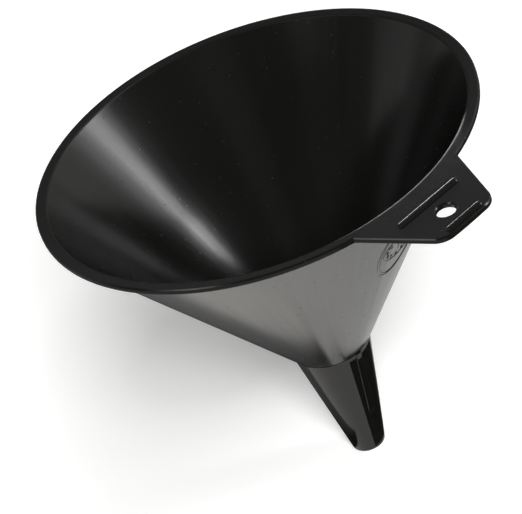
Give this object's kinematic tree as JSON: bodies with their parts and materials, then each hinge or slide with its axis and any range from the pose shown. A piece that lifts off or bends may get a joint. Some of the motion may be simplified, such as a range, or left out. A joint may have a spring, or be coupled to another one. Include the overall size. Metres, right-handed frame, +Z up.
{
  "type": "funnel",
  "caption": "Round hand funnel for fuel and oil, with a wide conical bowl, flat rim, hang tab, ribbed tapered spout and a lift-out strainer.",
  "frame": {"origin": "centre of the spout's lower end, on the funnel's axis", "axes": "+Z up the funnel's axis, out of the mouth; +X from the axis towards the hang tab; +Y completes a right-handed frame"},
  "size_m": [0.2357, 0.2032, 0.1825],
  "materials": {
    "moulding": "glossy black moulded plastic",
    "strainer_plastic": "satin black moulded plastic",
    "strainer_mesh": "fine steel mesh"
  },
  "bodies": {
    "funnel": {"bowl": "moulding", "spout": "moulding"},
    "strainer": {"strainer_frame": "strainer_plastic", "strainer_mesh": "strainer_mesh"}
  },
  "joints": [
    {"name": "strainer_lift", "type": "slide", "parent": "funnel", "child": "strainer", "axis": [0, 0, 1], "range_m": [0, 0.125]}
  ]
}
